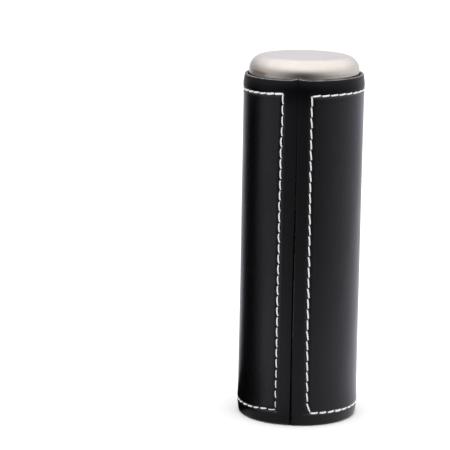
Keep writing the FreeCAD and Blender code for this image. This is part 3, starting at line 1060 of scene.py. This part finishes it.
def add_pip(cutters, place):
    """A closed shape that cuts one pip: a shallow bowl below z = 0, and a plain plug above it."""
    ball = (PIP_R ** 2 + PIP_DEPTH ** 2) / (2 * PIP_DEPTH)
    edge = math.degrees(math.asin(PIP_R / ball))
    bowl = arc_points((0, ball - PIP_DEPTH), ball, -90, edge - 90, 12)
    count = 64
    turns = [2 * math.pi * j / count for j in range(count)]
    rings = []
    for r, z in bowl[1:] + [(PIP_R + 0.1, 0.4)]:
        spots = [Vector((r * math.cos(t), r * math.sin(t), z)) for t in turns]
        rings.append([cutters.verts.new(place @ spot) for spot in spots])
    pole = cutters.verts.new(place @ Vector((0, 0, -PIP_DEPTH)))
    for j in range(count):
        n = (j + 1) % count
        cutters.faces.new((pole, rings[0][n], rings[0][j]))
        for lower, upper in zip(rings, rings[1:]):
            cutters.faces.new((lower[j], lower[n], upper[n], upper[j]))
    cutters.faces.new(rings[-1])


def plain_die():
    """A die in millimetres at the origin, 1 on top: rounded, with sunk and painted pips."""
    shape = bmesh.new()
    bmesh.ops.create_cube(shape, size=DIE_SIZE)
    bmesh.ops.bevel(shape, geom=shape.edges[:], offset=DIE_ROUND, segments=8, profile=0.5, affect="EDGES")
    body = add_object("die_shape", mesh_of(shape, "die_shape", IVORY))

    cutters = bmesh.new()
    for number, places in PIP_PLACES.items():
        back = turn_to_top(number).inverted()
        for u, v in places:
            spot = Vector((u * PIP_SPACING, v * PIP_SPACING, DIE_SIZE / 2))
            add_pip(cutters, back @ Matrix.Translation(spot))
    cutter = add_object("pips", mesh_of(cutters, "pips", PIP))

    cut = body.modifiers.new("pips", "BOOLEAN")
    cut.operation, cut.solver, cut.object = "DIFFERENCE", "EXACT", cutter
    cut.material_mode = "TRANSFER"
    bpy.context.view_layer.update()
    made = bpy.data.meshes.new_from_object(body.evaluated_get(bpy.context.evaluated_depsgraph_get()))
    bpy.data.objects.remove(body)
    bpy.data.objects.remove(cutter)
    return made


def die_piece(number, shape):
    turn, top = DIE_TURNS[number]
    centre = middle(f"die_{number}")
    mesh = shape.copy()
    place = Matrix.Translation(centre) @ Matrix.Rotation(math.radians(turn), 4, "Z") @ turn_to_top(top)
    mesh.transform(Matrix.Scale(MM, 4) @ place)
    mesh.polygons.foreach_set("use_smooth", np.ones(len(mesh.polygons), bool))
    mesh.set_sharp_from_angle(angle=math.radians(24))
    piece = add_object(f"dice_{number}", mesh)
    weigh = piece.modifiers.new("weighted normals", "WEIGHTED_NORMAL")
    weigh.keep_sharp = True
    weigh.weight = 90
    return piece


# ---- the object

put(leather_piece(), "cup", "leather_sleeve")
put(backing_piece(), "cup", "sleeve_backing")
for row in HOLES:
    node = f"stitch_row_{row}" if row in LEVEL_ROWS else f"stitch_row_seam_{row}"
    put(thread_row(f"thread_{row}", row), "cup", node)
put(tube_piece(), "cup", "core_tube")
put(base_shell(), "cup", "base_cap")
put(base_plug_piece(), "cup", "base_plug")
put(felt_wall(), "cup", "wall_lining")
put(felt_disc("felt_floor", "floor_pad", True), "cup", "floor_pad")
put(lid_shell(), "lid", "lid_cap")
put(lid_plug_piece(), "lid", "lid_plug")
put(seal_piece(), "lid", "lid_seal")
put(felt_disc("felt_lid", "lid_pad", False), "lid", "lid_pad")
die_shape = plain_die()
for number in DIE_TURNS:
    put(die_piece(number, die_shape), f"die_{number}", f"die_{number}")


# ---- studio

CAMERA_DISTANCE = 0.9033
CAMERA_LENS = 178.4
CAMERA_PITCH = 11.49
CAMERA_ROLL = 0.94
CAMERA_AZIMUTH = 6.65
CUP_RIGHT_OF_VIEW = 0.0305
CUP_BELOW_VIEW = 0.0073
AIM_HEIGHT = 0.070
SENSOR_WIDTH = 36.0


def camera():
    """The cup stands to the right of the view's middle, as one of a pair would."""
    azimuth, pitch, roll = (math.radians(v) for v in (CAMERA_AZIMUTH, CAMERA_PITCH, CAMERA_ROLL))
    right = Vector((math.cos(azimuth), math.sin(azimuth), 0))
    level_back = Vector((math.sin(azimuth), -math.cos(azimuth), 0))
    back = level_back * math.cos(pitch) + Vector((0, 0, math.sin(pitch)))
    up = back.cross(right)
    level_right = right * math.cos(roll) + up * math.sin(roll)
    level_up = up * math.cos(roll) - right * math.sin(roll)
    data = bpy.data.cameras.new("camera")
    data.lens, data.sensor_width = CAMERA_LENS, SENSOR_WIDTH
    data.clip_start, data.clip_end = 0.01, 20.0
    made = add_object("camera", data)
    spot = (Vector((0, 0, AIM_HEIGHT)) + back * CAMERA_DISTANCE
            - level_right * CUP_RIGHT_OF_VIEW + level_up * CUP_BELOW_VIEW)
    turn = Matrix((level_right, level_up, back)).transposed().to_4x4()
    made.matrix_world = Matrix.Translation(spot) @ turn
    bpy.context.scene.camera = made


# How bright the studio looks in reflections, by azimuth from the camera: (degrees, brightness).
# First the floor: at the cup's foot, close to the cup and further out. Then the room at the horizon.
FLOOR_AT_FOOT = [
    (-180, 0.9), (-110, 0.1), (-79, 0.1), (-67, 0.22), (-52, 0.22), (-30, 0.24), (-14, 0.22),
    (4, 0.32), (30, 0.45), (60, 0.56), (84, 0.6), (110, 0.75), (180, 0.9),
]
FLOOR_NEAR = [
    (-180, 1.2), (-152, 1.0), (-138, 0.1), (-79, 0.02), (-67, 0.88), (-52, 0.62), (-30, 0.48), (-14, 0.32),
    (4, 0.32), (30, 0.5), (60, 0.66), (84, 0.85), (110, 0.98), (150, 1.0), (180, 1.2),
]
FLOOR_FAR = [
    (-180, 1.2), (-158, 0.8), (-138, 0.1), (-100, 0.12), (-80, 0.45), (-58, 0.33), (-30, 0.09), (-10, 0.04),
    (10, 0.03), (30, 0.085), (60, 0.25), (84, 0.43), (110, 0.58), (150, 0.8), (180, 1.2),
]
HORIZON = [
    (-180, 0.84), (-165, 0.72), (-145, 0.48), (-118, 0.42), (-90, 0.64), (-60, 0.58), (-40, 0.4),
    (-20, 0.14), (0, 0.08), (20, 0.25), (40, 0.52), (60, 0.72), (82, 0.86), (107, 0.95), (140, 0.95),
    (180, 0.84),
]

# How far from the cup's axis, in metres, each of these turns into the next
FOOT_TO_NEAR = (0.032, 0.075)
NEAR_TO_FAR = (0.17, 0.41)
FAR_TO_HORIZON = (1.0, 1.3)

# The share of the top light in the sky, by the z of the direction
SKYWARD = [(0.0, 0.0), (0.2, 0.09), (0.45, 0.48), (0.7, 0.89), (0.88, 1.0)]
TOP_LIGHT = 1.56

FLOOR_RADIUS = 3.0
FLAG_RADIUS = 0.024
FLAG_HEIGHT = 0.139
FLAG_DISTANCE = 0.070
FLAG_FOOT = 0.047
FLAG_AZIMUTH = -97.0
FLAG_GLOW = (0.24, 0.2, 0.175)
GLOW_BELOW_TOP = (0.014, 0.002)


def room_colour(degrees, value):
    """The room's light is slightly violet, and warmer straight in front."""
    warm = math.exp(-(degrees / 45) ** 2)
    return (value * (0.99 + 0.05 * warm), value * 0.965, value * (1.07 - 0.05 * warm))


def by_azimuth(m, where, stops):
    """A brightness by the azimuth of a direction or place, measured from the camera's."""
    turned = m.node("Mapping", {"Rotation": (0, 0, math.radians(-CAMERA_AZIMUTH))})
    m.link(where, turned.inputs["Vector"])
    x, y, _ = m.split(turned.outputs["Vector"])
    angle = m.math("ARCTAN2", x, m.math("MULTIPLY", y, -1.0))
    share = m.remap(angle, -math.pi, math.pi, 0.0, 1.0)
    return m.ramp(share, [((degrees + 180) / 360, room_colour(degrees, value)) for degrees, value in stops])


def glossy_floor():
    """The floor as reflections see it: brightest near the cup, and falling away into the room."""
    m = Material("floor_reflected", (1, 1, 1), 1.0)
    where = m.node("TexCoord").outputs["Object"]
    length = m.node("VectorMath", operation="LENGTH")
    m.link(where, length.inputs[0])
    colour = by_azimuth(m, where, FLOOR_AT_FOOT)
    for stops, reach in ((FLOOR_NEAR, FOOT_TO_NEAR), (FLOOR_FAR, NEAR_TO_FAR), (HORIZON, FAR_TO_HORIZON)):
        share = m.remap(length.outputs["Value"], *reach, 0.0, 1.0)
        colour = m.mix(share, colour, by_azimuth(m, where, stops))
    glow = m.node("Emission")
    m.link(colour, glow.inputs["Color"])
    m.link(glow.outputs["Emission"], m.tree.nodes["Material Output"].inputs["Surface"])
    m.data.cycles.emission_sampling = "NONE"
    return m.data


def stage_piece(name, shape, material, spot):
    made = add_object(name, mesh_of(shape, name, material))
    made.location = spot
    return made


def disc(name, radius, spot, material):
    shape = bmesh.new()
    bmesh.ops.create_circle(shape, cap_ends=True, segments=96, radius=radius)
    return stage_piece(name, shape, material, spot)


def only_in_gloss(piece):
    piece.visible_camera = piece.visible_diffuse = piece.visible_shadow = piece.visible_transmission = False


def black_flag():
    """A slim black flag to the left, which puts a dark band down the leather and the lid."""
    m = Material("flag_black", plain(0.0), 1.0)
    m.set(Specular_IOR_Level=0.0, Emission_Strength=1.0)
    height = m.split(m.node("TexCoord").outputs["Object"])[2]
    glow_from, glow_to = (FLAG_HEIGHT / 2 - below for below in GLOW_BELOW_TOP)
    top = m.remap(height, glow_from, glow_to, 0.0, 1.0)
    m.link(m.mix(top, plain(0.0), FLAG_GLOW), m.shader.inputs["Emission Color"])
    m.data.cycles.emission_sampling = "NONE"
    turn = math.radians(FLAG_AZIMUTH + CAMERA_AZIMUTH)
    x, y = FLAG_DISTANCE * math.sin(turn), -FLAG_DISTANCE * math.cos(turn)
    shape = bmesh.new()
    ends = {"radius1": FLAG_RADIUS, "radius2": FLAG_RADIUS}
    bmesh.ops.create_cone(shape, cap_ends=True, segments=48, depth=FLAG_HEIGHT, **ends)
    only_in_gloss(stage_piece("flag", shape, m.data, (x, y, FLAG_HEIGHT / 2)))
    only_in_gloss(disc("flag_foot", FLAG_FOOT, (x, y, 0.0002), m.data))


def overhead_light():
    """A wide soft light above and a little in front. It doesn't show in gloss."""
    data = bpy.data.lights.new("overhead", "AREA")
    data.shape, data.size, data.size_y = "RECTANGLE", 1.6, 1.6
    data.energy = 12
    light = add_object("overhead", data)
    spot, target = Vector((0.0, -0.2, 1.6)), Vector((0, 0, 0.1))
    light.location = spot
    light.rotation_mode = "QUATERNION"
    light.rotation_quaternion = (target - spot).to_track_quat("-Z", "Y")
    light.visible_camera = False
    light.visible_glossy = False


def studio():
    paper = Material("floor_paper", (0.852, 0.866, 0.8), 0.9)
    disc("floor", FLOOR_RADIUS, (0, 0, 0), paper.data).visible_glossy = False
    only_in_gloss(disc("floor_in_gloss", FLOOR_RADIUS, (0, 0, -0.0005), glossy_floor()))
    black_flag()
    overhead_light()

    world = bpy.data.worlds.new("studio")
    bpy.context.scene.world = world
    world.use_nodes = True
    m = Tree(world.node_tree)
    where = m.node("TexCoord").outputs["Generated"]
    skyward = m.ramp(m.split(where)[2], [(z, plain(share)) for z, share in SKYWARD])
    sky = m.mix(skyward, by_azimuth(m, where, HORIZON), room_colour(180, TOP_LIGHT))
    m.link(sky, world.node_tree.nodes["Background"].inputs["Color"])
    bpy.context.scene.view_settings.view_transform = "Standard"


camera()
studio()
